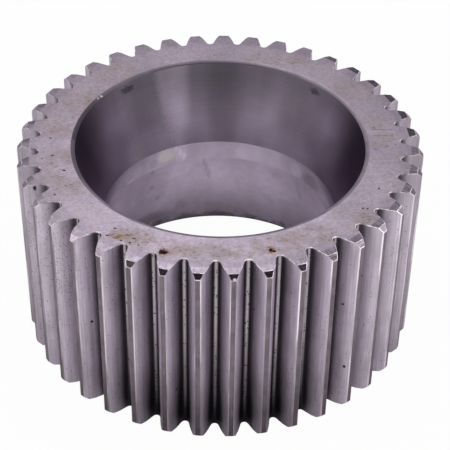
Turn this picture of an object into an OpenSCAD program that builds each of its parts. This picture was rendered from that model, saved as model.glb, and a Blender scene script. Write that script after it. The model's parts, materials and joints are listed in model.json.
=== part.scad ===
// Planet gear: a one-piece spur gear whose bore carries two tapered roller tracks.
// Millimetres. +Z runs up the gear's axis, and the gear stands on its lower end face at z = 0.
// One tooth is centred on +Y.

/* [Teeth] */
// Number of teeth
tooth_count = 39; // [24:1:80]
// Module: pitch diameter divided by the number of teeth
gear_module = 4; // [2:0.25:8]
// Pressure angle of the flanks, in degrees
pressure_angle = 25; // [18:0.5:27]
// Height of a tooth above the pitch circle, in modules
addendum_modules = 1; // [0.8:0.05:1.15]
// Depth of a gullet below the pitch circle, in modules
dedendum_modules = 1.25; // [1.1:0.05:1.4]
// Running clearance taken off each tooth's thickness at the pitch circle
backlash = 0.1; // [0:0.02:0.4]
// Break along the two long edges of each tooth tip
tip_break = 0.4; // [0.1:0.05:0.6]
// Height of the fillet where a flank runs into the root
root_fillet = 2; // [0.5:0.1:2.4]

/* [Body] */
// Width of the gear from end face to end face
face_width = 87; // [60:1:160]
// Wall between the tooth roots and the mouth of the bore
rim = 14.4; // [6:0.1:24]

/* [Tooth ends] */
// Bevel at 45 degrees across both ends of every tooth
end_bevel = 1.9; // [0.5:0.1:3]
// Radial width of the shallow skimmed ring between each end face and the bevels
skim_width = 3; // [0.5:0.1:4]
// Slope of the skimmed rings, in degrees
skim_slope = 5; // [1:0.5:15]

/* [Bore] */
// Radial drop of each tapered track, from the mouth down to the land
track_drop = 10.1; // [4:0.1:16]
// Depth of the upper track, from the upper end face to the land
upper_track_depth = 35.6; // [20:0.1:40]
// Length of the straight land between the two tracks
land_length = 8.7; // [2:0.1:14]
// Radial width of the bevel around each mouth of the bore
mouth_bevel_width = 1.5; // [0.5:0.1:3]
// Depth of the bevel around each mouth of the bore
mouth_bevel_depth = 0.5; // [0.2:0.1:2]

/* [Hidden] */

// Straight pieces that stand for each involute flank, and for each root fillet
flank_steps = 6;
fillet_steps = 5;
// Share of a gullet's half width at the root that a fillet takes up
fillet_share = 0.9;
// How far the blank and the toothed prism run past each other, so that no faces of the two coincide
clear = 2;

pitch_r = gear_module * tooth_count / 2;
base_r = pitch_r * cos(pressure_angle);
tip_r = pitch_r + gear_module * addendum_modules;
root_r = pitch_r - gear_module * dedendum_modules;
bevel_r = tip_r - end_bevel;
face_r = bevel_r - skim_width;
skim_drop = skim_width * tan(skim_slope);
mouth_r = root_r - rim;
land_r = mouth_r - track_drop;
land_top = face_width - upper_track_depth;
land_bottom = land_top - land_length;

function in_degrees(arc, r) = arc / r * 180 / PI;
function polar(r, angle) = r * [cos(angle), sin(angle)];
function involute(angle) = tan(angle) * 180 / PI - angle;

// Half of the angle that a tooth takes up at radius r; below the base circle the flank is radial
function half_angle(r) =
    90 / tooth_count - in_degrees(backlash / 2, pitch_r)
    + involute(pressure_angle) - involute(acos(min(1, base_r / r)));

// How far each root fillet reaches along the root
gullet_half_width = root_r * (180 / tooth_count - half_angle(root_r)) * PI / 180;
fillet_width = fillet_share * gullet_half_width;

// A point of the fillet between a flank and the root, as [radius, half angle], for t from 0 at the root to 1
function fillet_point(t) =
    let (corner = half_angle(root_r),
         root_end = [root_r, corner + in_degrees(fillet_width, root_r)],
         flank_end = [root_r + root_fillet, half_angle(root_r + root_fillet)])
    (1 - t) * (1 - t) * root_end + 2 * t * (1 - t) * [root_r, corner] + t * t * flank_end;

// One side of a tooth from the root to the tip, as [radius, half angle]
function tooth_side() =
    let (flank_start = root_r + root_fillet,
         flank_end = tip_r - tip_break)
    concat(
        [for (i = [0 : fillet_steps - 1]) fillet_point(i / fillet_steps)],
        [for (i = [0 : flank_steps])
            let (r = flank_start + (flank_end - flank_start) * i / flank_steps) [r, half_angle(r)]],
        [[tip_r, half_angle(flank_end) - in_degrees(tip_break, tip_r)]]);

// The toothed outline, counter-clockwise, with the first tooth on +Y
function gear_outline() =
    let (side = tooth_side(), last = len(side) - 1)
    [for (tooth = [0 : tooth_count - 1])
        let (middle = 90 + 360 * tooth / tooth_count)
        for (k = [0 : 2 * last + 1])
            k <= last ? polar(side[k][0], middle - side[k][1])
                      : polar(side[2 * last + 1 - k][0], middle + side[2 * last + 1 - k][1])];

// Half section of the turned blank: end faces, skimmed rings, tooth-end bevels, mouth bevels, tracks and land
function blank_section() = [
    [mouth_r + mouth_bevel_width, 0],
    [face_r, 0],
    [bevel_r, skim_drop],
    [tip_r + clear, skim_drop + end_bevel + clear],
    [tip_r + clear, face_width - skim_drop - end_bevel - clear],
    [bevel_r, face_width - skim_drop],
    [face_r, face_width],
    [mouth_r + mouth_bevel_width, face_width],
    [mouth_r, face_width - mouth_bevel_depth],
    [land_r, land_top],
    [land_r, land_bottom],
    [mouth_r, mouth_bevel_depth]];

module toothed_prism() {
    translate([0, 0, -clear])
        linear_extrude(face_width + 2 * clear) polygon(gear_outline());
}

module planet_gear() {
    color([0.63, 0.59, 0.64])
        intersection() {
            toothed_prism();
            rotate_extrude($fn = 180) polygon(blank_section());
        }
}

planet_gear();
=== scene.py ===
"""Planet gear: a worn one-piece steel spur gear with a waisted bore, and the pale stage it stands on."""

import json
import math

import bmesh
import bpy
from bmesh.types import BMEdge, BMFace, BMVert
from mathutils import Matrix, Vector


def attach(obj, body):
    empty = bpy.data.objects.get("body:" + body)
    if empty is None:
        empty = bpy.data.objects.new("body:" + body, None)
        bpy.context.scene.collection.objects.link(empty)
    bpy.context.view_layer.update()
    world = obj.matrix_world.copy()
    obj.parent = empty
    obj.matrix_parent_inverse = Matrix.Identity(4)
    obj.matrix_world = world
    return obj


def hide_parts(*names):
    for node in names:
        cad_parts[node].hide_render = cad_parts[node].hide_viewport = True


bl_info = {
    "name": "Planet Gear",
    "version": (1, 0, 0),
    "blender": (4, 5, 0),
    "location": "View3D > Sidebar > Planet Gear",
    "description": "Builds a worn steel planet gear and a pale stage for it",
    "category": "Add Mesh",
}

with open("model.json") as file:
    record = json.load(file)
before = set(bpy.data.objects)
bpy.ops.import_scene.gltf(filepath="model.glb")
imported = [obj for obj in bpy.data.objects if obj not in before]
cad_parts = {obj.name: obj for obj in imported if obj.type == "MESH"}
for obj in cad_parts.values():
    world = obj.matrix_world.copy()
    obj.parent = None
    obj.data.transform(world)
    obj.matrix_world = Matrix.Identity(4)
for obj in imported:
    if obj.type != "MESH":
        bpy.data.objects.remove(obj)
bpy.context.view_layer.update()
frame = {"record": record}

# What the frame says about the gear
MM = 0.001
NODE = "planet_gear"
MOUNTS = {mount["name"]: mount for mount in frame["record"]["mounts"]}
LAND, UPPER, TEETH = (MOUNTS[name]["dims"] for name in ("bore_land", "upper_track", "teeth"))

# The regions of the gear's surface, each with a finish of its own
REGIONS = (
    "end_face", "skimmed_end", "end_bevel", "tooth_flank", "tooth_tip", "tooth_root",
    "mouth_bevel", "upper_track", "bore_land", "lower_track", "worn_edge",
)
REGION = {name: index for index, name in enumerate(REGIONS)}

# Neighbouring regions that meet without a worn edge
SOFT_MEETINGS = (
    {"tooth_flank", "tooth_root"}, {"tooth_flank", "worn_edge"}, {"tooth_tip", "worn_edge"},
    {"tooth_root", "worn_edge"}, {"end_face", "worn_edge"}, {"skimmed_end", "worn_edge"},
    {"end_face", "skimmed_end"}, {"upper_track", "bore_land"},
)

# Neighbouring regions whose edge is worn most
WORN_MEETINGS = ({"end_face", "tooth_flank"}, {"end_face", "tooth_root"})

# Regions that are flat or narrow, and so are shaded flat
FLAT_REGIONS = ("end_face", "skimmed_end", "end_bevel", "tooth_tip", "worn_edge")

# Vertices closer than this are one vertex
HAIR = 0.001 * MM

# Depth of a mark on an end face, and middle radius and radial reach of a mark in the bore, in millimetres
FACE_MARK_DEPTH = 2.0
BORE_MARK_RADIUS = 50.0
BORE_MARK_DEPTH = 100.0

# Share of a root fillet's height that counts as the root
ROOT_SHARE = 0.125

# Which sockets of a Mix node hold its two colours, and which gives the mixed one
MIX_COLOURS = (6, 7)
MIXED_COLOUR = 2

# The stage's white, and the width of the camera's sensor in millimetres
WHITE = (1.0, 1.0, 1.0, 1.0)
SENSOR_WIDTH = 36.0

# Bright nicks at the tooth tips: centre and reach in millimetres
TIP_NICKS = (((6.9, -81.5, 85.2), (0.9, 0.9, 0.8)), ((-67, -46.5, 85.4), (0.8, 0.8, 0.6)))

# Bright nicks in the bevel of the upper mouth: centre and reach in millimetres
MOUTH_NICKS = (((-50.6, 31, 86.7), (0.7, 0.7, 0.7)), ((-51.8, 29.3, 86.8), (0.45, 0.45, 0.45)))

# Marks on the upper end face: bearing from +X in degrees, radius, and reach along X and Y in millimetres
FACE_RUST = (
    (-121.9, 72.2, 1.6, 0.8), (-121.5, 71.1, 1.7, 0.9), (-121.1, 69.9, 1.6, 0.8),
    (-124.1, 72.3, 1.6, 0.6), (-119.6, 68.6, 1.4, 0.6), (-105.9, 71.6, 2.5, 2.4),
    (-73, 69.7, 1.8, 2),
)
FACE_RUST_CORES = (
    (-105.9, 71.5, 2.2, 1.9), (-73.4, 69.5, 1, 1.3), (-72.4, 70.3, 0.9, 0.7),
    (-119.6, 72, 0.7, 0.5), (-124.3, 72.6, 0.8, 0.4), (-116.8, 71.6, 0.6, 0.6),
    (-116.7, 68.8, 0.9, 0.4), (-124.6, 67.7, 0.6, 0.5),
)
FACE_HAZE = (
    (170, 67.5, 16, 13), (-166, 67.5, 15, 12), (-154, 67.5, 15, 13),
    (-119, 69, 15, 8), (-106, 68.5, 15, 7), (-94, 68.3, 15, 6.5),
    (-82, 67.8, 15, 6.5), (-70, 67, 15, 6.5), (-58, 67, 14, 8),
    (-41, 68.5, 12, 9), (4, 64.5, 11, 8), (14, 66, 11, 9), (34, 66.5, 13, 11),
    (70, 65.5, 20, 8), (135, 68.5, 16, 12), (153, 66.5, 14, 13),
)
FACE_STREAKS = (
    (9.5, 64.5, 5, 0.5), (9, 69, 3.5, 0.4), (5.8, 66, 5, 0.5), (-2.5, 62.6, 1.4, 1),
    (-0.8, 66.9, 1.2, 0.9), (-161.6, 65.2, 2, 0.5), (-164, 67, 1.5, 0.4),
    (-158, 66.5, 1.5, 0.4), (-119, 68, 2, 0.6), (-123.5, 71.6, 2.2, 0.6),
    (-112.5, 68.6, 1.5, 0.5), (-110, 67, 1.5, 0.5),
)
FACE_SMEARS = (
    (-105.5, 71.2, 4.5, 4), (-121, 70.5, 6, 2.5), (-73, 69.5, 3.5, 3.5),
    (-64, 66.3, 1.6, 1.2), (-66.5, 65.6, 2.2, 0.8), (-61, 66.5, 2, 0.8),
)
FACE_PITS = (
    (-170.4, 67.7, 0.7, 0.6), (-169.3, 71.8, 0.5, 0.5), (179.6, 68.7, 0.7, 0.5), (-161.1, 64.5, 0.9, 0.6),
    (-150.2, 72.7, 0.6, 0.6), (-114, 71.3, 0.5, 0.5), (-24.5, 68.4, 0.6, 0.6), (-36.4, 68.8, 0.6, 0.6),
    (-35.7, 70.3, 0.5, 0.5),
)

# Marks, painted reflections and painted shade in the bore: bearing in degrees, height in millimetres, reach
# in both, and the strength of a tone
TRACK_SMUDGES = ((134.8, 83.5, 4.5, 2), (47, 83.5, 3.5, 1.8))
# Lighter bands and darker ends of the upper track: painted reflections and painted shade
TRACK_LIGHT_AND_SHADE = (
    (112.5, 88, 10, 44, 1.7), (130, 66, 16, 60, 1.3), (57, 62, 16, 60, 1.3),
    (89, 75, 12, 40, 0.82), (149, 76, 28, 34, 1.4), (35, 76, 28, 34, 1.4),
    (129, 50, 24, 18, 1.5), (52, 50, 20, 16, 1.4), (172, 49, 32, 22, 0.5),
    (12, 49, 32, 22, 0.5),
)
# Pale patch on the land: a painted reflection
LAND_REFLECTIONS = ((120.5, 47.8, 7, 4.5),)
# Lighter streaks and darker places on the land: painted reflections and painted shade
LAND_LIGHT_AND_SHADE = (
    (112, 48, 5, 7, 1.22), (114.4, 51, 1.4, 3, 1.2), (112.2, 48, 1.4, 3, 1.2),
    (110, 45, 1.4, 3, 1.2), (144.7, 43.6, 4, 0.8, 1.3), (76, 47, 9, 9, 1.15),
    (47, 46.5, 5, 5, 1.2), (36, 45, 9, 5, 0.7), (128, 46, 4, 3, 0.88),
    (142, 47, 9, 6, 1.2),
)
# Lighter and darker places on the lower track: painted reflections and painted shade
WALL_LIGHT_AND_SHADE = (
    (91, 35, 8, 9, 1.12), (112, 37, 7, 7, 1.12), (128, 30, 12, 18, 0.85),
    (99.2, 40, 1.2, 3.5, 0.84), (98, 36, 1.3, 4, 0.82), (96.4, 31.5, 1.5, 4.5, 0.84),
    (128.3, 41, 1.5, 2, 0.8), (127.1, 30.6, 1.3, 1.8, 0.75), (122.6, 21.3, 1.5, 1.8, 0.75),
    (109.9, 11.8, 4, 5, 0.85), (47, 34, 2, 9, 0.86), (60, 37, 4, 4, 0.9),
    (130, 6, 22, 8, 0.6),
)
WALL_SPOTS = ((123.4, 4, 2.2, 2.2), (97, 3, 2.5, 2), (88.6, 3, 2.5, 2))

# Gritty areas and pits of the tooth flanks: centre and reach in millimetres
FLANK_GRIT = (((-62, -48, 66), (20, 20, 26)), ((-72, -28, 50), (14, 16, 34)))
FLANK_PITS = (
    ((-71.6, -30.1, 85.5), (1, 1, 2)), ((-48.7, -60, 42.8), (0.8, 0.8, 0.9)),
    ((51.3, -61.2, 22.1), (0.8, 0.8, 1)), ((14.3, -74.5, 64.4), (0.6, 0.6, 0.7)),
)


def length(name, description, default):
    """A size in metres that a user may change."""
    return bpy.props.FloatProperty(
        name=name, description=description, default=default, min=0.0, unit="LENGTH", precision=5)


def angle(name, description, degrees):
    """An angle that a user may change."""
    return bpy.props.FloatProperty(
        name=name, description=description, default=math.radians(degrees), subtype="ANGLE")


def number(name, description, default, unit="NONE"):
    """A plain number that a user may change."""
    return bpy.props.FloatProperty(name=name, description=description, default=default, min=0.0, unit=unit)


def count(name, description, default):
    """A whole number that a user may change."""
    return bpy.props.IntProperty(name=name, description=description, default=default, min=2)


def colour(name, description, default):
    """A linear colour that a user may change."""
    return bpy.props.FloatVectorProperty(
        name=name, description=description, default=default, min=0.0, max=1.0, size=3, subtype="COLOR")


class GearSizes(bpy.types.PropertyGroup):
    """Sizes of the gear."""

    tooth_count: count("Teeth", "Number of teeth", TEETH["count"])
    pitch_radius: length("Pitch radius", "Radius of the pitch circle", TEETH["pcd_mm"] / 2 * MM)
    face_width: length("Face width", "Distance between the end faces", TEETH["length_mm"] * MM)
    pressure_angle: angle("Pressure angle", "Pressure angle of the flanks", 25.0)
    addendum: number("Addendum", "Height of a tooth above the pitch circle, in modules", 1.0)
    dedendum: number("Dedendum", "Depth of a gullet below the pitch circle, in modules", 1.25)
    backlash: length("Backlash", "Clearance taken off a tooth's thickness", 0.1 * MM)
    tip_break: length("Tip break", "Break along both long edges of a tooth tip", 0.4 * MM)
    root_fillet: length("Root fillet", "Height of the fillet between a flank and the root", 2.0 * MM)
    fillet_share: number("Fillet share", "Share of a gullet's half width that a fillet takes up", 0.9)
    end_bevel: length("End bevel", "Bevel across both ends of a tooth", 1.9 * MM)
    rim: length("Rim", "Wall between the tooth roots and the mouth of the bore", 14.4 * MM)
    mouth_bevel_width: length("Mouth bevel width", "Radial width of the bevel at a mouth", 1.5 * MM)
    mouth_bevel_depth: length("Mouth bevel depth", "Depth of the bevel at a mouth", 0.5 * MM)
    land_radius: length("Land radius", "Radius of the straight land in the bore", LAND["r_mm"] * MM)
    land_length: length("Land length", "Length of the straight land", LAND["length_mm"] * MM)
    upper_depth: length("Upper track depth", "Depth of the upper track", UPPER["length_mm"] * MM)
    skim_width: length("Skim width", "Radial width of the skimmed ring across the tooth ends", 3.0 * MM)
    skim_slope: angle("Skim slope", "Slope of the skimmed rings", 5.0)
    edge_round: length("Edge round", "Width of the worn rounding along the edges", 0.18 * MM)
    rim_wear: length("Rim wear", "Width of the heavier wear along the outline of the end faces", 0.34 * MM)
    edge_steps: count("Edge steps", "Straight pieces across a worn edge", 2)
    flank_steps: count("Flank steps", "Straight pieces along each half of a flank", 5)
    end_steps: count("End steps", "Straight pieces along a flank beside the end bevel", 2)
    fillet_steps: count("Fillet steps", "Straight pieces along a root fillet", 6)
    bore_steps: count("Bore steps", "Straight pieces around the bore for each tooth", 6)


class GearFinish(bpy.types.PropertyGroup):
    """Colours of the gear's steel and of the marks on it, and of painted reflections in the bore."""

    steel: colour("Steel", "Bare machined steel", (0.280, 0.236, 0.291))
    bevel: colour("Bevel", "Bevels of the tooth ends", (0.302, 0.247, 0.303))
    nick: colour("Nick", "Fresh bright nicks", (0.85, 0.80, 0.84))
    edge_tint: colour("Edge tint", "Tint of the metal at a shallow angle", (0.86, 0.77, 0.90))
    # Bright steel: rubbed metal, which on the worn edges is in part a painted highlight
    bright_steel: colour("Bright steel", "Worn edges and tooth roots", (0.66, 0.60, 0.655))
    flank: colour("Flank", "Hobbed tooth flanks", (0.510, 0.450, 0.522))
    # The tips' dark tone is brownish steel, and in part painted shade
    tip: colour("Tip", "Brownish tooth tips", (0.188, 0.153, 0.176))
    polished: colour("Polished", "Dark polished track of the bore", (0.252, 0.228, 0.264))
    land: colour("Land", "Paler walls of the bore", (0.335, 0.277, 0.36))
    # Pale patches on the land: painted reflections
    reflected_patch: colour("Pale patch", "Pale patches in the bore", (0.50, 0.45, 0.43))
    stain: colour("Stain", "Brownish haze on the steel", (0.236, 0.192, 0.172))
    dark_stain: colour("Dark stain", "Darker stains", (0.115, 0.088, 0.082))
    rust: colour("Rust", "Rust marks", (0.18, 0.085, 0.026))
    rust_core: colour("Rust core", "Dark middle of a rust spot", (0.014, 0.006, 0.003))
    soot: colour("Soot", "Pits and dark specks", (0.012, 0.010, 0.012))
    relief: length("Relief", "Depth of the fine relief", 0.03 * MM)
    relief_strength: number("Relief strength", "How strongly the fine relief shows", 0.35)


class StageLook(bpy.types.PropertyGroup):
    """The floor, the light and the camera."""

    foot_reach: length("Foot reach", "How far the gear's shadow on the floor reaches from the teeth", 0.055)
    foot_shadow: number("Foot shadow", "Depth of that shadow where the metal mirrors it", 0.8)
    foot_start: number("Foot start", "Where it starts under the gear, as a share of the tip radius", 0.75)
    foot_full: number("Foot full", "Where it is full under the gear, as a share of the tip radius", 0.9)
    floor_colour: colour("Floor", "Pale floor", (0.86, 0.86, 0.86))
    floor_lift: number("Floor lift", "How far the floor is lifted toward white where it is seen", 0.97)
    floor_half_width: length("Floor half width", "Half of the floor's width", 3.0)
    ambient: number("Ambient", "Strength of the even light", 0.6)
    key_power: number("Key power", "Power of the top light", 1.9, "POWER")
    side_power: number("Side power", "Power of each side light", 1.5, "POWER")
    lamp_width: length("Lamp width", "Width of each light", 0.5)
    card_distance: length("Card distance", "From the gear to the dark card over the camera", 0.9)
    card_elevation: angle("Card elevation", "How high the dark card stands", 50.0)
    card_shift: length("Card shift", "How far the dark card stands to the right", 0.03)
    card_width: length("Card width", "Width of the dark card", 1.64)
    card_height: length("Card height", "Height of the dark card", 0.5)
    camera_place: bpy.props.FloatVectorProperty(
        name="Camera place", description="Where the camera stands", default=(0.00622, -0.48427, 0.44449),
        size=3, subtype="TRANSLATION")
    camera_elevation: angle("Camera elevation", "How steeply the camera looks down", 39.622)
    camera_turn: angle("Camera turn", "Turn of the camera about the vertical", 0.453)
    camera_roll: angle("Camera roll", "Roll of the camera about its own axis", 0.858)
    camera_lens: number("Lens", "Focal length on a 36 mm sensor, in millimetres", 119.08)


# Shape of the gear

def tip_radius(sizes):
    return sizes.pitch_radius + 2 * sizes.pitch_radius / sizes.tooth_count * sizes.addendum


def bevel_radius(sizes):
    """Radius at which the bevels across the tooth ends begin."""
    return tip_radius(sizes) - sizes.end_bevel


def face_radius(sizes):
    """Radius at which the skimmed rings begin."""
    return bevel_radius(sizes) - sizes.skim_width


def end_drop(sizes, radius):
    """How far the end of a tooth lies below the end face at a radius."""
    skimmed = min(max(0.0, radius - face_radius(sizes)), sizes.skim_width)
    return skimmed * math.tan(sizes.skim_slope) + max(0.0, radius - bevel_radius(sizes))


def root_radius(sizes):
    return sizes.pitch_radius - 2 * sizes.pitch_radius / sizes.tooth_count * sizes.dedendum


def involute(pressure):
    return math.tan(pressure) - pressure


def half_angle(sizes, radius):
    """Half of the angle that a tooth takes up at a radius."""
    base = sizes.pitch_radius * math.cos(sizes.pressure_angle)
    at_pitch = math.pi / 2 / sizes.tooth_count - sizes.backlash / 2 / sizes.pitch_radius
    return at_pitch + involute(sizes.pressure_angle) - involute(math.acos(min(1.0, base / radius)))


def tooth_side(sizes):
    """(radius, half angle) along one side of a tooth, from the middle of a gullet to the tip."""
    tip, bevel, face, root = tip_radius(sizes), bevel_radius(sizes), face_radius(sizes), root_radius(sizes)
    corner = half_angle(sizes, root)
    flank_start, flank_end = root + sizes.root_fillet, tip - sizes.tip_break
    fillet_angle = sizes.fillet_share * (math.pi / sizes.tooth_count - corner)
    points = [(root, math.pi / sizes.tooth_count)]
    for step in range(sizes.fillet_steps):
        t = step / sizes.fillet_steps
        along_root = (1 - t) ** 2 * fillet_angle
        up_flank = t ** 2 * (half_angle(sizes, flank_start) - corner)
        points.append((root + t ** 2 * sizes.root_fillet, corner + along_root + up_flank))
    flank = []
    ends = (flank_start, face, bevel, flank_end)
    for start, end, steps in zip(ends, ends[1:], (sizes.flank_steps, sizes.flank_steps, sizes.end_steps)):
        flank += [start + (end - start) * step / steps for step in range(steps)]
    points += [(radius, half_angle(sizes, radius)) for radius in flank + [flank_end]]
    points.append((tip, half_angle(sizes, flank_end) - sizes.tip_break / tip))
    return points


def only(kind, geometry):
    """The vertices, edges or faces among some geometry."""
    return [item for item in geometry if isinstance(item, kind)]


def paint(faces, region):
    """Give faces the finish of a region."""
    for face in faces:
        face.material_index = REGION[region]


def reach(face):
    """Smallest and largest distance of a face's corners from the gear's axis."""
    distances = [vert.co.xy.length for vert in face.verts]
    return min(distances), max(distances)


def tooth_end(mesh, sizes):
    """The upper end of one tooth, as rungs between its sides, the innermost one cut for the bore."""
    side = []
    for radius, half in tooth_side(sizes):
        height = sizes.face_width - end_drop(sizes, radius)
        side.append(mesh.verts.new((radius * math.sin(half), radius * math.cos(half), height)))
    chain = [mesh.edges.new(pair) for pair in zip(side, side[1:])]
    mirrored = bmesh.ops.mirror(mesh, geom=side + chain, matrix=Matrix.Identity(4), merge_dist=0.0, axis="X")
    bmesh.ops.bridge_loops(mesh, edges=chain + only(BMEdge, mirrored["geom"]))
    paint(mesh.faces, "end_face")
    for region, start in (("skimmed_end", face_radius(sizes)), ("end_bevel", bevel_radius(sizes))):
        paint([face for face in mesh.faces if reach(face)[0] > start - HAIR], region)
    rung = [edge for edge in side[0].link_edges if edge not in chain]
    rung_y = side[0].co.y
    bmesh.ops.subdivide_edges(mesh, edges=rung, cuts=sizes.bore_steps - 1)
    return rung_y


def tooth_walls(mesh, sizes, outline):
    """Carry the outline of a tooth's upper end down to its lower end."""
    tip, root = tip_radius(sizes), root_radius(sizes)
    made = bmesh.ops.extrude_edge_only(mesh, edges=outline)["geom"]
    for vert in only(BMVert, made):
        vert.co.z = sizes.face_width - vert.co.z
    for face in only(BMFace, made):
        nearest, farthest = reach(face)
        if nearest > tip - HAIR:
            region = "tooth_tip"
        elif farthest > tip - HAIR:
            region = "worn_edge"
        elif farthest < root + sizes.root_fillet * ROOT_SHARE:
            region = "tooth_root"
        else:
            region = "tooth_flank"
        paint([face], region)


def bore_walls(mesh, sizes, front, rung_y):
    """Carry a tooth's innermost rung across the rim, through the bore and out to the lower end."""
    mouth = root_radius(sizes) - sizes.rim
    outer = mouth + sizes.mouth_bevel_width
    land_top = sizes.face_width - sizes.upper_depth
    path = (
        ("end_face", outer, sizes.face_width),
        ("mouth_bevel", mouth, sizes.face_width - sizes.mouth_bevel_depth),
        ("upper_track", sizes.land_radius, land_top),
        ("bore_land", sizes.land_radius, land_top - sizes.land_length),
        ("lower_track", mouth, sizes.mouth_bevel_depth),
        ("mouth_bevel", outer, 0.0),
        ("end_face", None, 0.0),
    )
    for region, radius, height in path:
        made = bmesh.ops.extrude_edge_only(mesh, edges=front)["geom"]
        paint(only(BMFace, made), region)
        moved = only(BMVert, made)
        for vert in moved:
            heading = vert.co.xy.normalized()
            vert.co.xy = heading * (radius or rung_y / heading.y)
            vert.co.z = height
        front = [edge for edge in only(BMEdge, made) if all(vert in moved for vert in edge.verts)]


def clear_rungs(mesh):
    """Dissolve the edges inside each flat or bevelled end, so that every end is one clean face."""
    inside = []
    for edge in mesh.edges:
        regions = [REGIONS[face.material_index] for face in edge.link_faces]
        if regions in (["end_face"] * 2, ["end_bevel"] * 2):
            inside.append(edge)
    bmesh.ops.dissolve_edges(mesh, edges=inside, use_verts=False)


def meeting(edge):
    """The regions on the two sides of an edge."""
    return {REGIONS[face.material_index] for face in edge.link_faces}


def round_off(mesh, edges, width, steps):
    """Round edges, and give the rounding the finish of a worn edge."""
    made = bmesh.ops.bevel(
        mesh, geom=edges, offset=width, offset_type="OFFSET", segments=steps,
        profile=0.5, affect="EDGES", clamp_overlap=False, loop_slide=True, material=-1)["faces"]
    paint(made, "worn_edge")
    return made


def wear_edges(mesh, sizes):
    """Round the edges between regions, most of all along the outline of the end faces."""
    outline = [edge for edge in mesh.edges if meeting(edge) in WORN_MEETINGS]
    round_off(mesh, outline, sizes.rim_wear, sizes.edge_steps)
    sharp = [edge for edge in mesh.edges if len(meeting(edge)) == 2 and meeting(edge) not in SOFT_MEETINGS]
    made = round_off(mesh, sharp, sizes.edge_round, sizes.edge_steps)
    mouth = root_radius(sizes) - sizes.rim
    by_mouth = [face for face in made if abs(reach(face)[0] - mouth) < 2 * sizes.mouth_bevel_width]
    by_land = [face for face in made if reach(face)[0] < sizes.land_radius + sizes.mouth_bevel_width]
    paint(by_mouth, "mouth_bevel")
    paint(by_land, "bore_land")


def gear_mesh(sizes):
    """The whole gear as one closed mesh, with its finishes marked by region."""
    mesh = bmesh.new()
    rung_y = tooth_end(mesh, sizes)
    rims = [edge for edge in mesh.edges if edge.is_boundary]
    front = [edge for edge in rims if all(abs(vert.co.y - rung_y) < HAIR for vert in edge.verts)]
    outline = [edge for edge in rims if edge not in front]
    middle = Matrix.Translation((0, 0, -sizes.face_width / 2))
    upper_end = mesh.verts[:] + mesh.edges[:] + mesh.faces[:]
    bmesh.ops.mirror(mesh, geom=upper_end, matrix=middle, merge_dist=0.0, axis="Z")
    tooth_walls(mesh, sizes, outline)
    bore_walls(mesh, sizes, front, rung_y)
    bmesh.ops.remove_doubles(mesh, verts=mesh.verts[:], dist=HAIR)
    clear_rungs(mesh)
    others = sizes.tooth_count - 1
    bmesh.ops.spin(
        mesh, geom=mesh.verts[:] + mesh.edges[:] + mesh.faces[:], cent=(0, 0, 0), axis=(0, 0, 1),
        angle=2 * math.pi * others / sizes.tooth_count, steps=others, use_duplicate=True)
    bmesh.ops.remove_doubles(mesh, verts=mesh.verts[:], dist=HAIR)
    bmesh.ops.recalc_face_normals(mesh, faces=mesh.faces[:])
    wear_edges(mesh, sizes)
    for vert in mesh.verts:
        vert.co.z = min(max(vert.co.z, 0.0), sizes.face_width)
    for face in mesh.faces:
        face.smooth = REGIONS[face.material_index] not in FLAT_REGIONS
    for edge in mesh.edges:
        regions = {face.material_index for face in edge.link_faces}
        edge.smooth = len(regions) == 1 or regions == {REGION["tooth_flank"], REGION["tooth_root"]}
    return mesh


# Finishes

def place(tree, kind, inputs=None, **settings):
    """Add a shader node, set its options, and give its inputs a constant or a link."""
    node = tree.nodes.new(f"ShaderNode{kind}")
    for name, value in settings.items():
        setattr(node, name, value)
    for name, value in (inputs or {}).items():
        if isinstance(value, bpy.types.NodeSocket):
            tree.links.new(value, node.inputs[name])
        else:
            node.inputs[name].default_value = value
    return node


def maths(tree, operation, first, second=0.0):
    return place(tree, "Math", {0: first, 1: second}, operation=operation).outputs[0]


def times(tree, first, second):
    return maths(tree, "MULTIPLY", first, second)


def vector_maths(tree, operation, first, second):
    return place(tree, "VectorMath", {0: first, 1: second}, operation=operation).outputs[0]


def vector(tree, x=0.0, y=0.0, z=0.0):
    return place(tree, "CombineXYZ", {"X": x, "Y": y, "Z": z}).outputs[0]


def fade(tree, value, start, end):
    """0 at start and before it, 1 at end and past it, smooth between."""
    return place(tree, "MapRange", {"Value": value, "From Min": start, "From Max": end},
                 interpolation_type="SMOOTHSTEP").outputs["Result"]


def between(tree, value, low, high):
    """Carry a value from 0 to 1 over to a value from low to high."""
    node = place(tree, "MapRange", {"Value": value, "To Min": low, "To Max": high})
    return node.outputs["Result"]


def blend(tree, factor, first, second, mode="MIX"):
    """Mix two colours, each a socket or a plain linear colour."""
    node = place(tree, "Mix", {0: factor}, data_type="RGBA", blend_type=mode)
    for index, value in zip(MIX_COLOURS, (first, second)):
        if isinstance(value, bpy.types.NodeSocket):
            tree.links.new(value, node.inputs[index])
        else:
            node.inputs[index].default_value = (*value, 1.0)
    return node.outputs[MIXED_COLOUR]


def dimmed(base, share):
    """A plain colour, darkened."""
    return tuple(channel * share for channel in base)


def shade(tree, tone, *values):
    """Darken or lighten a colour by values around 1."""
    for value in values:
        tone = blend(tree, 1.0, tone, value, "MULTIPLY")
    return tone


def scaled(tree, tone, mask, factor):
    """Scale a colour by a factor where a mask is 1."""
    return shade(tree, tone, between(tree, mask, 1.0, factor))


def sockets(kind, *names):
    """Names and kinds of some sockets of a node group."""
    return [(name, f"NodeSocket{kind}") for name in names]


def new_group(name, inputs, outputs):
    """An empty node group with its sockets, and the sockets inside it."""
    group = bpy.data.node_groups.new(name, "ShaderNodeTree")
    for direction, listed in (("INPUT", inputs), ("OUTPUT", outputs)):
        for label, kind in listed:
            group.interface.new_socket(label, in_out=direction, socket_type=kind)
    return group, group.nodes.new("NodeGroupInput").outputs, group.nodes.new("NodeGroupOutput")


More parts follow.
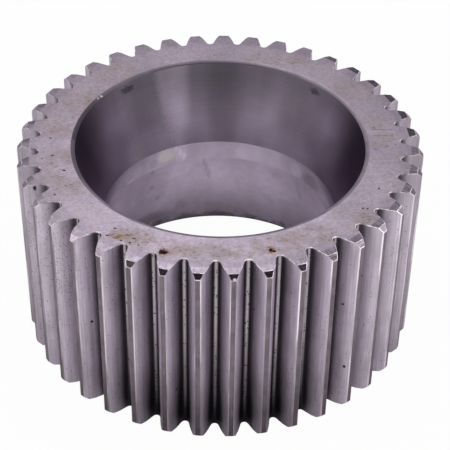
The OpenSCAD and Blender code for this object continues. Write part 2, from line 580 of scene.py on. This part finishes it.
def gear_place_group():
    """Where a point lies on the gear: in millimetres, and around and along the gear's axis."""
    outputs = sockets("Vector", "Place", "Unrolled") + sockets("Float", "Radius", "Bearing", "Height")
    group, _, result = new_group("gear_place", [], outputs)
    here = place(group, "TexCoord").outputs["Object"]
    millimetres = vector_maths(group, "SCALE", here, (0.0, 0.0, 0.0))
    millimetres.node.inputs["Scale"].default_value = 1 / MM
    x, y, z = place(group, "SeparateXYZ", {0: millimetres}).outputs
    radius = maths(group, "SQRT", maths(group, "ADD", times(group, x, x), times(group, y, y)))
    bearing = maths(group, "DEGREES", maths(group, "ARCTAN2", y, x))
    for name, socket in (("Place", millimetres), ("Unrolled", vector(group, bearing, z, radius)),
                         ("Radius", radius), ("Bearing", bearing), ("Height", z)):
        group.links.new(socket, result.inputs[name])
    return group


def fine_lines_group():
    """Fine lines or streaks, drawn out along the directions that are stretched least."""
    group, given, result = new_group(
        "fine_lines", sockets("Vector", "Place", "Stretch"), sockets("Float", "Lines"))
    drawn = vector_maths(group, "MULTIPLY", given["Place"], given["Stretch"])
    noise = place(group, "TexNoise", {
        "Vector": drawn, "Scale": 1.0, "Detail": 3.0, "Roughness": 0.65})
    group.links.new(fade(group, noise.outputs["Fac"], 0.25, 0.75), result.inputs["Lines"])
    return group


def cloud_group():
    """Soft patches of a size in millimetres."""
    group, given, result = new_group(
        "cloud", sockets("Vector", "Place") + sockets("Float", "Size", "Start", "End"),
        sockets("Float", "Mask"))
    noise = place(group, "TexNoise", {
        "Vector": given["Place"], "Scale": maths(group, "DIVIDE", 1.0, given["Size"]),
        "Detail": 4.0, "Roughness": 0.6})
    group.links.new(fade(group, noise.outputs["Fac"], given["Start"], given["End"]), result.inputs["Mask"])
    return group


def specks_group():
    """Small scattered dots: how far apart, how large, and which share of them shows."""
    group, given, result = new_group(
        "specks", sockets("Vector", "Place") + sockets("Float", "Spacing", "Size", "Share"),
        sockets("Float", "Mask"))
    cells = place(group, "TexVoronoi", {
        "Vector": given["Place"], "Scale": maths(group, "DIVIDE", 1.0, given["Spacing"])})
    distance = times(group, cells.outputs["Distance"], given["Spacing"])
    dot = fade(group, distance, given["Size"], times(group, given["Size"], 0.5))
    chance = place(group, "SeparateColor", {0: cells.outputs["Color"]}).outputs[0]
    shown = maths(group, "LESS_THAN", chance, given["Share"])
    group.links.new(times(group, dot, shown), result.inputs["Mask"])
    return group


def mark_group():
    """One soft ragged mark at a chosen place."""
    group, given, result = new_group(
        "mark", sockets("Vector", "Place", "Centre", "Reach") + sockets("Float", "Ragged"),
        sockets("Float", "Mask"))
    offset = vector_maths(group, "SUBTRACT", given["Place"], given["Centre"])
    away = vector_maths(group, "DIVIDE", offset, given["Reach"])
    distance = place(group, "VectorMath", {0: away}, operation="LENGTH").outputs["Value"]
    noise = place(group, "TexNoise", {"Vector": given["Place"], "Scale": 0.9, "Detail": 3.0})
    ragged = times(group, maths(group, "SUBTRACT", noise.outputs["Fac"], 0.5), given["Ragged"])
    group.links.new(fade(group, maths(group, "ADD", distance, ragged), 1.0, 0.45), result.inputs["Mask"])
    return group


GROUPS = {
    "gear_place": gear_place_group, "fine_lines": fine_lines_group, "cloud": cloud_group,
    "specks": specks_group, "mark": mark_group,
}


def use(tree, name, **inputs):
    """Place a shared node group, which is built when it is first needed, and give its outputs."""
    group = bpy.data.node_groups.get(name) or GROUPS[name]()
    labelled = {label.capitalize(): value for label, value in inputs.items()}
    return place(tree, "Group", labelled, node_tree=group).outputs


def lines(tree, where, stretch, low, high):
    """A value around 1 that varies along fine lines."""
    drawn = use(tree, "fine_lines", place=where, stretch=stretch)
    return between(tree, drawn["Lines"], low, high)


def cloud(tree, where, size, low, high, start=0.35, end=0.65):
    """A value that varies in soft patches."""
    patches = use(tree, "cloud", place=where, size=size, start=start, end=end)
    return between(tree, patches["Mask"], low, high)


def specks(tree, where, spacing, size, share):
    return use(tree, "specks", place=where, spacing=spacing, size=size, share=share)["Mask"]


def marks(tree, where, spots, ragged=0.9):
    """One mask for several marks, each given by its centre and its reach."""
    mask = None
    for centre, extent in spots:
        one = use(tree, "mark", place=where, centre=centre, reach=extent, ragged=ragged)["Mask"]
        mask = one if mask is None else maths(tree, "MAXIMUM", mask, one)
    return mask


def on_face(sizes, spots):
    """Marks on the upper end face, from bearing in degrees, radius, and reach along X and Y."""
    placed = []
    for bearing, radius, along_x, along_y in spots:
        turn = math.radians(bearing)
        centre = (radius * math.cos(turn), radius * math.sin(turn), sizes.face_width / MM)
        placed.append((centre, (along_x, along_y, FACE_MARK_DEPTH)))
    return placed


def in_bore(spots):
    """Marks in the bore, from bearing in degrees and height, and their reach in both."""
    return [((bearing, height, BORE_MARK_RADIUS), (wide, high, BORE_MARK_DEPTH))
            for bearing, height, wide, high in spots]


def paint_light_and_shade(tree, tone, where, spots, ragged):
    """Paint light and shade on a colour in soft places in the bore, each with a strength of its own."""
    for *spot, strength in spots:
        mask = marks(tree, where, in_bore([spot]), ragged)
        tone = scaled(tree, tone, mask, strength)
    return tone


def dress_end_face(tree, at, sizes, finish):
    where = at["Place"]
    scratches = lines(tree, where, (0.20, 2.4, 1.0), 0.89, 1.09)
    # Darker toward the teeth, with painted shade over the rear of the face
    rear = fade(tree, maths(tree, "ABSOLUTE", maths(tree, "SUBTRACT", at["Bearing"], 90.0)), 110.0, 70.0)
    outer = fade(tree, at["Radius"], 71.0, 75.0)
    outer_and_rear_darkening = maths(tree, "SUBTRACT", between(tree, outer, 1.02, 0.86), times(tree, rear, 0.07))
    tone = shade(
        tree, finish.steel, cloud(tree, where, 18.0, 0.90, 1.08), cloud(tree, where, 1.2, 0.87, 1.09),
        scratches, outer_and_rear_darkening, lines(tree, where, (2.0, 0.3, 1.0), 0.94, 1.05))
    patches = marks(tree, where, on_face(sizes, FACE_HAZE), 0.3)
    ring = times(tree, fade(tree, at["Radius"], 61.0, 65.0), fade(tree, at["Radius"], 75.0, 71.0))
    stray = times(tree, ring, cloud(tree, where, 9.0, 0.0, 0.25, 0.45, 0.66))
    uneven = cloud(tree, where, 6.5, 0.06, 0.62, 0.36, 0.66)
    haze = maths(tree, "MAXIMUM", stray, times(tree, patches, uneven))
    tone = blend(tree, haze, tone, finish.stain)
    flecks = fade(tree, lines(tree, where, (0.55, 1.3, 1.0), 0.0, 1.0), 0.62, 0.86)
    tone = blend(tree, times(tree, times(tree, haze, 1.5), flecks), tone, finish.dark_stain)
    streaks = marks(tree, where, on_face(sizes, FACE_STREAKS), 0.9)
    tone = blend(tree, times(tree, streaks, 0.5), tone, finish.dark_stain)
    rust = marks(tree, where, on_face(sizes, FACE_RUST), 1.8)
    rust = times(tree, rust, cloud(tree, where, 0.9, 0.35, 1.0))
    tone = blend(tree, rust, tone, finish.rust)
    smears = marks(tree, where, on_face(sizes, FACE_SMEARS), 1.6)
    tone = blend(tree, times(tree, smears, 0.22), tone, finish.rust)
    core = marks(tree, where, on_face(sizes, FACE_RUST_CORES), 1.0)
    tone = blend(tree, core, tone, finish.rust_core)
    pits = marks(tree, where, on_face(sizes, FACE_PITS), 0.5)
    pits = maths(tree, "MAXIMUM", pits, times(tree, specks(tree, where, 5.0, 0.40, 0.35), 0.75))
    tone = blend(tree, pits, tone, finish.soot)
    dull = maths(tree, "ADD", haze, maths(tree, "ADD", rust, pits))
    rough = between(tree, dull, 0.34, 0.52)
    height = maths(tree, "SUBTRACT", scratches, pits)
    return tone, rough, height


def frontward(tree, at, start, end):
    """How near a place lies to the front of the gear, from a start to an end in degrees."""
    return fade(tree, maths(tree, "ABSOLUTE", maths(tree, "ADD", at["Bearing"], 90.0)), start, end)


def low_front_shade(tree, at):
    """Painted shade on the outside: darkest at the lower ends of the front teeth."""
    return times(tree, frontward(tree, at, 48.0, 14.0), fade(tree, at["Height"], 44.0, 2.0))


def leftward(tree, at):
    """1 on the left-hand side of the gear, 0 elsewhere."""
    return fade(tree, maths(tree, "ABSOLUTE", at["Bearing"]), 146.0, 160.0)


def across_tooth(tree, at, sizes):
    """Degrees from the middle of the nearest tooth, which rise with the bearing."""
    pitch = 360.0 / sizes.tooth_count
    turned = maths(tree, "ADD", at["Bearing"], 270.0 + pitch / 2)
    return maths(tree, "SUBTRACT", maths(tree, "MODULO", turned, pitch), pitch / 2)


def dress_skimmed_end(tree, at, sizes, finish):
    bearing = at["Bearing"]
    far = fade(tree, bearing, 60.0, 48.0)
    right = times(tree, fade(tree, bearing, -80.0, -58.0), far)
    hatch = lines(tree, at["Unrolled"], (2.1, 0.0, 0.08), 0.0, 1.0)
    depth = between(tree, right, 0.4, 1.3)
    hatch = maths(tree, "ADD", 1.0, times(tree, maths(tree, "SUBTRACT", hatch, 0.55), depth))
    behind = times(tree, fade(tree, bearing, -2.0, 6.0), far)
    # Along the far side of each left tooth the ring is darker: painted shade
    worn = times(tree, leftward(tree, at), fade(tree, across_tooth(tree, at, sizes), 1.6, -2.2))
    # Darker on the right and behind: partly darker steel, partly painted shade
    scale = times(tree, between(tree, right, 0.80, 0.60), between(tree, behind, 1.0, 0.36))
    scale = times(tree, scale, between(tree, worn, 1.0, 0.45))
    tone = shade(tree, finish.steel, scale, hatch, cloud(tree, at["Place"], 3.0, 0.85, 1.15))
    return tone, between(tree, hatch, 0.40, 0.28), hatch


def dress_end_bevel(tree, at, sizes, finish):
    turned = lines(tree, at["Unrolled"], (0.05, 4.5, 0.0), 0.82, 1.12)
    hatched = times(tree, fade(tree, at["Bearing"], -78.0, -62.0), fade(tree, at["Bearing"], 20.0, 0.0))
    hatch = lines(tree, at["Unrolled"], (0.08, 2.4, 0.0), 0.40, 1.60)
    pattern = place(tree, "Mix", {0: hatched, 2: turned, 3: hatch}).outputs[0]
    # By bearing the bevels are darker where hatched and on the left, and lighter around -35 degrees: painted
    # shade and painted highlight
    tone = shade(tree, scaled(tree, finish.bevel, hatched, 0.6), pattern)
    painted_highlight = fade(tree, maths(tree, "ABSOLUTE", maths(tree, "ADD", at["Bearing"], 35.0)), 15.0, 6.0)
    tone = scaled(tree, tone, leftward(tree, at), 0.6)
    tone = shade(tree, scaled(tree, tone, painted_highlight, 1.8), cloud(tree, at["Place"], 2.4, 0.85, 1.12))
    nicks = marks(tree, at["Place"], TIP_NICKS, 0.4)
    rough = maths(tree, "ADD", between(tree, pattern, 0.33, 0.25), times(tree, nicks, 0.6))
    return blend(tree, nicks, tone, finish.nick), rough, pattern


def dress_tooth_flank(tree, at, sizes, finish):
    where = at["Place"]
    drawn = lines(tree, where, (1.9, 1.9, 0.012), 0.86, 1.10)
    tone = shade(tree, finish.flank, drawn, lines(tree, where, (0.35, 0.35, 0.05), 0.86, 1.10))
    tone = blend(tree, cloud(tree, where, 14.0, 0.0, 0.22, 0.45, 0.7), tone, finish.stain)
    low_shade = low_front_shade(tree, at)
    # Near the tips the flanks are painted lighter at the front and darker at the sides: painted light and
    # painted shade
    gain = between(tree, frontward(tree, at, 85.0, 55.0), -0.20, 0.40)
    bright = times(tree, fade(tree, at["Radius"], 76.5, 81.5), gain)
    tone = shade(tree, tone, maths(tree, "ADD", 1.0, bright))
    # Darker low on the front teeth: painted shade
    tone = scaled(tree, tone, low_shade, 0.5)
    # Darker near the root, in a band that widens low at the front: painted shade
    spread = times(tree, maths(tree, "POWER", low_shade, 2.0), 1.8)
    darkening = fade(tree, maths(tree, "SUBTRACT", at["Radius"], spread), 76.6, 73.6)
    tone = scaled(tree, tone, darkening, 0.19)
    grit = maths(tree, "ADD", cloud(tree, where, 20.0, 0.05, 0.30), marks(tree, where, FLANK_GRIT, 0.5))
    fine = times(tree, specks(tree, where, 0.7, 0.29, times(tree, grit, 0.26)), 0.8)
    dots = maths(tree, "MAXIMUM", fine, specks(tree, where, 8.0, 0.7, 0.25))
    dots = maths(tree, "MAXIMUM", dots, marks(tree, where, FLANK_PITS, 0.3))
    tone = blend(tree, dots, tone, finish.soot)
    rough = between(tree, maths(tree, "ADD", darkening, dots), 0.56, 0.50)
    return tone, rough, maths(tree, "SUBTRACT", drawn, dots)


def dress_tooth_tip(tree, at, sizes, finish):
    where = at["Place"]
    drawn = lines(tree, where, (2.6, 2.6, 0.05), 0.84, 1.14)
    tone = shade(tree, finish.tip, drawn, cloud(tree, where, 7.0, 0.85, 1.18))
    # Darker low on the front teeth: painted shade
    tone = scaled(tree, tone, low_front_shade(tree, at), 0.6)
    dots = specks(tree, where, 4.0, 0.35, 0.25)
    return blend(tree, dots, tone, finish.soot), between(tree, dots, 0.36, 0.5), drawn


def dress_tooth_root(tree, at, sizes, finish):
    where = at["Place"]
    drawn = lines(tree, where, (2.0, 2.0, 0.08), 0.85, 1.12)
    tone = shade(tree, dimmed(finish.bright_steel, 0.60), drawn)
    # Darker towards the lower end of each gullet: painted shade
    tone = scaled(tree, tone, fade(tree, at["Height"], 62.0, 18.0), 0.36)
    tone = scaled(tree, tone, fade(tree, at["Height"], 22.0, 4.0), 0.15)
    dots = specks(tree, where, 1.2, 0.42, cloud(tree, where, 6.0, 0.05, 1.0))
    height = maths(tree, "SUBTRACT", drawn, dots)
    return blend(tree, dots, tone, finish.soot), between(tree, dots, 0.36, 0.5), height


def dress_mouth_bevel(tree, at, sizes, finish):
    turned = lines(tree, at["Unrolled"], (0.03, 0.0, 5.0), 0.88, 1.10)
    inner = fade(tree, at["Radius"], 59.6, 59.1)
    around = maths(tree, "ABSOLUTE", at["Bearing"])
    left, rear = fade(tree, around, 138.0, 162.0), fade(tree, at["Bearing"], 66.0, 96.0)
    tone = shade(tree, finish.steel, between(tree, inner, 0.66, 0.60), turned)
    # Darker on the left and at the rear: painted shade
    tone = scaled(tree, scaled(tree, tone, left, 0.5), rear, 0.72)
    tone = blend(tree, times(tree, marks(tree, at["Place"], MOUTH_NICKS, 0.6), 0.5), tone, finish.nick)
    tone = shade(tree, tone, cloud(tree, at["Place"], 6.0, 0.9, 1.1))
    return tone, between(tree, turned, 0.26, 0.34), turned


def folded(tree, at):
    """Bearing and height in the bore, with the front half laid over the rear half."""
    return vector(tree, maths(tree, "ABSOLUTE", at["Bearing"]), at["Height"], BORE_MARK_RADIUS)


def flanking(tree, at, start, end):
    """How far a place lies from the front or rear of the bore, from a start to an end in degrees."""
    away = maths(tree, "SUBTRACT", maths(tree, "ABSOLUTE", at["Bearing"]), 92.0)
    return fade(tree, maths(tree, "ABSOLUTE", away), start, end)


def dress_upper_track(tree, at, sizes, finish):
    bands = lines(tree, at["Unrolled"], (0.075, 0.004, 0.0), 0.92, 1.08)
    turned = lines(tree, at["Unrolled"], (0.012, 1.5, 0.0), 0.95, 1.05)
    tone = shade(tree, finish.polished, bands, turned, cloud(tree, at["Place"], 9.0, 0.96, 1.04))
    # Painted reflections and painted shade: lighter bands, darker ends, and lighter towards the land than at
    # the mouth
    tone = paint_light_and_shade(tree, tone, folded(tree, at), TRACK_LIGHT_AND_SHADE, 0.2)
    tone = scaled(tree, tone, flanking(tree, at, 60.0, 86.0), 0.56)
    tone = shade(tree, tone, between(tree, fade(tree, at["Height"], 87.0, 50.0), 0.75, 2.0))
    smudge = marks(tree, at["Unrolled"], in_bore(TRACK_SMUDGES), 1.4)
    tone = blend(tree, times(tree, smudge, 0.55), tone, finish.soot)
    tone = blend(tree, specks(tree, at["Place"], 9.0, 0.35, 0.18), tone, finish.bright_steel)
    return tone, between(tree, turned, 0.34, 0.28), turned


def dress_bore_land(tree, at, sizes, finish):
    patches = cloud(tree, at["Place"], 8.0, 0.94, 1.06)
    turned = lines(tree, at["Unrolled"], (0.03, 2.4, 0.0), 0.96, 1.04)
    tone = shade(tree, finish.land, patches, turned)
    # Darker at the left and right of the bore: painted shade
    tone = scaled(tree, tone, flanking(tree, at, 26.0, 56.0), 0.54)
    # A pale patch on the land: a painted reflection
    pale = marks(tree, at["Unrolled"], in_bore(LAND_REFLECTIONS), 0.5)
    tone = blend(tree, times(tree, pale, 0.5), tone, finish.reflected_patch)
    return paint_light_and_shade(tree, tone, at["Unrolled"], LAND_LIGHT_AND_SHADE, 0.3), between(tree, patches, 0.36, 0.28), turned


def dress_lower_track(tree, at, sizes, finish):
    blotches = cloud(tree, at["Place"], 16.0, 0.86, 0.99)
    turned = lines(tree, at["Unrolled"], (0.02, 1.2, 0.0), 0.97, 1.03)
    tone = shade(tree, finish.land, blotches, turned, cloud(tree, at["Place"], 3.5, 0.96, 1.04))
    # Darker at the left and right of the bore: painted shade
    tone = scaled(tree, tone, flanking(tree, at, 22.0, 52.0), 0.56)
    # Darker towards the bottom
    tone = scaled(tree, tone, fade(tree, at["Height"], 30.0, 3.0), 0.40)
    tone = paint_light_and_shade(tree, tone, at["Unrolled"], WALL_LIGHT_AND_SHADE, 0.4)
    tone = blend(tree, marks(tree, at["Unrolled"], in_bore(WALL_SPOTS), 0.9), tone, finish.dark_stain)
    # Darker at the bottom edge, along a ragged line
    darkening = fade(tree, maths(tree, "ADD", at["Height"], cloud(tree, at["Place"], 4.0, -1.5, 1.5)), 6.0, 0.5)
    tone = scaled(tree, tone, darkening, 0.35)
    return tone, between(tree, blotches, 0.40, 0.32), turned


def dress_worn_edge(tree, at, sizes, finish):
    along = vector_maths(tree, "MULTIPLY", at["Place"], (1.0, 1.0, 0.06))
    broken = cloud(tree, along, 2.2, 0.55, 1.15, 0.40, 0.60)
    # At the very bottom of each gullet the edge stays bright: in part a painted highlight
    nick = fade(tree, at["Radius"], 73.9, 73.4)
    gullet = times(tree, fade(tree, at["Radius"], 77.2, 75.4), maths(tree, "SUBTRACT", 1.0, nick))
    # Darker in the gullets; painted shade makes the edges darker low at the front and on the left, and a
    # painted highlight makes them lighter at the front right
    painted_highlight = times(tree, fade(tree, at["Bearing"], -112.0, -88.0), fade(tree, at["Bearing"], -18.0, -36.0))
    left = fade(tree, maths(tree, "ABSOLUTE", at["Bearing"]), 125.0, 150.0)
    for mask, factor in ((low_front_shade(tree, at), 0.45), (gullet, 0.45), (painted_highlight, 1.35), (left, 0.72)):
        broken = times(tree, broken, between(tree, mask, 1.0, factor))
    return shade(tree, finish.bright_steel, broken), between(tree, broken, 0.46, 0.28), broken


DRESSINGS = {
    "end_face": dress_end_face, "skimmed_end": dress_skimmed_end, "end_bevel": dress_end_bevel,
    "tooth_flank": dress_tooth_flank, "tooth_tip": dress_tooth_tip, "tooth_root": dress_tooth_root,
    "mouth_bevel": dress_mouth_bevel, "upper_track": dress_upper_track, "bore_land": dress_bore_land,
    "lower_track": dress_lower_track, "worn_edge": dress_worn_edge,
}


def steel_material(region, sizes, finish):
    """The finish of one region: its tone, roughness and fine relief over bare metal."""
    material = bpy.data.materials.new(region)
    material.use_nodes = True
    tree = material.node_tree
    tree.nodes.clear()
    tone, rough, height = DRESSINGS[region](tree, use(tree, "gear_place"), sizes, finish)
    relief = place(
        tree, "Bump", {"Strength": finish.relief_strength, "Distance": finish.relief, "Height": height})
    shader = place(tree, "BsdfPrincipled", {
        "Base Color": tone, "Metallic": 1.0, "Roughness": rough, "Normal": relief.outputs[0],
        "Specular Tint": (*finish.edge_tint, 1.0)})
    place(tree, "OutputMaterial", {"Surface": shader.outputs["BSDF"]})
    return material


class PLANET_GEAR_OT_gear(bpy.types.Operator):
    """Build the steel gear in place of the plain solid"""

    bl_idname = "planet_gear.gear"
    bl_label = "Gear"
    bl_options = {"REGISTER", "UNDO"}

    def execute(self, context):
        sizes, finish = context.scene.gear_sizes, context.scene.gear_finish
        data = bpy.data.meshes.new("gear")
        mesh = gear_mesh(sizes)
        mesh.to_mesh(data)
        mesh.free()
        for region in REGIONS:
            data.materials.append(steel_material(region, sizes, finish))
        gear = bpy.data.objects.new("gear", data)
        context.scene.collection.objects.link(gear)
        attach(gear, "root")
        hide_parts(NODE)
        return {"FINISHED"}


class PLANET_GEAR_OT_stage(bpy.types.Operator):
    """Add the pale floor, the dark card, the lights and the camera"""

    bl_idname = "planet_gear.stage"
    bl_label = "Stage"
    bl_options = {"REGISTER", "UNDO"}

    def execute(self, context):
        look = context.scene.gear_stage
        add_floor(context, look)
        add_card(context, look)
        add_world(context, look)
        add_lights(context, look)
        add_camera(context, look)
        context.scene.view_settings.view_transform = "Standard"
        return {"FINISHED"}


# Stage

def background_rays(tree):
    """1 for the rays that should see the pale background, 0 for those that carry light."""
    path = place(tree, "LightPath").outputs
    seen = maths(tree, "MAXIMUM", path["Is Camera Ray"], path["Is Glossy Ray"])
    return maths(tree, "MAXIMUM", seen, path["Is Transmission Ray"])


def stage_object(context, name, mesh, finish):
    """A stage object made from a mesh, and the empty node tree of its named finish."""
    data = bpy.data.meshes.new(name)
    mesh.to_mesh(data)
    mesh.free()
    item = bpy.data.objects.new(name, data)
    context.scene.collection.objects.link(item)
    material = bpy.data.materials.new(finish)
    material.use_nodes = True
    material.node_tree.nodes.clear()
    data.materials.append(material)
    return item, material.node_tree


def add_floor(context, look):
    mesh = bmesh.new()
    bmesh.ops.create_grid(mesh, x_segments=1, y_segments=1, size=look.floor_half_width)
    floor, tree = stage_object(context, "floor", mesh, "pale_floor")
    matte = place(tree, "BsdfDiffuse", {"Color": (*look.floor_colour, 1.0)})
    white = place(tree, "Emission", {"Color": WHITE, "Strength": 1.0})
    spot = place(tree, "TexCoord").outputs["Object"]
    away = place(tree, "VectorMath", {0: spot}, operation="LENGTH").outputs["Value"]
    tip = tip_radius(context.scene.gear_sizes)
    outside = fade(tree, away, look.foot_start * tip, look.foot_full * tip)
    foot = times(tree, fade(tree, away, tip + look.foot_reach, tip), outside)
    mirrored = place(tree, "LightPath").outputs["Is Glossy Ray"]
    shadow = times(tree, times(tree, foot, mirrored), look.foot_shadow)
    lift = times(tree, background_rays(tree), maths(tree, "SUBTRACT", look.floor_lift, shadow))
    both = place(tree, "MixShader", {0: lift, 1: matte.outputs[0], 2: white.outputs[0]})
    place(tree, "OutputMaterial", {"Surface": both.outputs[0]})


def add_world(context, look):
    world = bpy.data.worlds.new("studio")
    world.use_nodes = True
    tree = world.node_tree
    tree.nodes.clear()
    strength = between(tree, background_rays(tree), look.ambient, 1.0)
    surround = place(tree, "Background", {"Color": WHITE, "Strength": strength})
    place(tree, "OutputWorld", {"Surface": surround.outputs[0]})
    context.scene.world = world


def add_card(context, look):
    """A dark card over the camera, as a photographer uses: only polished metal shows it."""
    mesh = bmesh.new()
    bmesh.ops.create_grid(mesh, x_segments=1, y_segments=1, size=0.5)
    bmesh.ops.scale(mesh, vec=(look.card_width, look.card_height, 1.0), verts=mesh.verts[:])
    tilt = Matrix.Rotation(math.pi / 2 - look.card_elevation, 3, "X")
    bmesh.ops.rotate(mesh, matrix=tilt, verts=mesh.verts[:])
    away = Vector((0.0, -math.cos(look.card_elevation), math.sin(look.card_elevation))) * look.card_distance
    bmesh.ops.translate(mesh, vec=away + Vector((look.card_shift, 0.0, 0.0)), verts=mesh.verts[:])
    card, tree = stage_object(context, "dark_card", mesh, "dark_card")
    black = place(tree, "Emission", {"Strength": 0.0})
    place(tree, "OutputMaterial", {"Surface": black.outputs[0]})
    for kind in ("camera", "diffuse", "transmission", "shadow"):
        setattr(card, f"visible_{kind}", False)


def add_lights(context, look):
    middle = Vector((0, 0, context.scene.gear_sizes.face_width / 2))
    lamps = (
        ("key_light", (-0.09, 0.75, 1.11), look.key_power),
        ("left_light", (-1.0, -0.25, 0.5), look.side_power),
        ("right_light", (1.0, -0.25, 0.5), look.side_power),
    )
    for name, spot, power in lamps:
        lamp = bpy.data.lights.new(name, "AREA")
        lamp.size, lamp.energy = look.lamp_width, power
        light = bpy.data.objects.new(name, lamp)
        light.location = spot
        light.rotation_euler = (middle - Vector(spot)).to_track_quat("-Z", "Y").to_euler()
        context.scene.collection.objects.link(light)


def add_camera(context, look):
    lens = bpy.data.cameras.new("camera")
    lens.lens, lens.sensor_width = look.camera_lens, SENSOR_WIDTH
    camera = bpy.data.objects.new("camera", lens)
    turn = Matrix.Rotation(look.camera_turn, 4, "Z")
    tilt = Matrix.Rotation(math.pi / 2 - look.camera_elevation, 4, "X")
    roll = Matrix.Rotation(look.camera_roll, 4, "Z")
    camera.matrix_world = Matrix.Translation(look.camera_place) @ turn @ tilt @ roll
    context.scene.collection.objects.link(camera)
    context.scene.camera = camera


class PLANET_GEAR_PT_panel(bpy.types.Panel):
    """The gear's operators and settings"""

    bl_idname = "PLANET_GEAR_PT_panel"
    bl_label = "Planet Gear"
    bl_space_type = "VIEW_3D"
    bl_region_type = "UI"
    bl_category = "Planet Gear"

    def draw(self, context):
        column = self.layout.column()
        for kind in (PLANET_GEAR_OT_stage, PLANET_GEAR_OT_gear):
            column.operator(kind.bl_idname)
        for group in (context.scene.gear_sizes, context.scene.gear_finish, context.scene.gear_stage):
            for name in group.__annotations__:
                column.prop(group, name)


CLASSES = (GearSizes, GearFinish, StageLook, PLANET_GEAR_OT_gear, PLANET_GEAR_OT_stage, PLANET_GEAR_PT_panel)


def register():
    for kind in CLASSES:
        bpy.utils.register_class(kind)
    bpy.types.Scene.gear_sizes = bpy.props.PointerProperty(type=GearSizes)
    bpy.types.Scene.gear_finish = bpy.props.PointerProperty(type=GearFinish)
    bpy.types.Scene.gear_stage = bpy.props.PointerProperty(type=StageLook)


def unregister():
    for name in ("gear_stage", "gear_finish", "gear_sizes"):
        delattr(bpy.types.Scene, name)
    for kind in reversed(CLASSES):
        bpy.utils.unregister_class(kind)


def main():
    register()
    bpy.ops.planet_gear.stage()
    bpy.ops.planet_gear.gear()


if __name__ == "__main__":
    main()
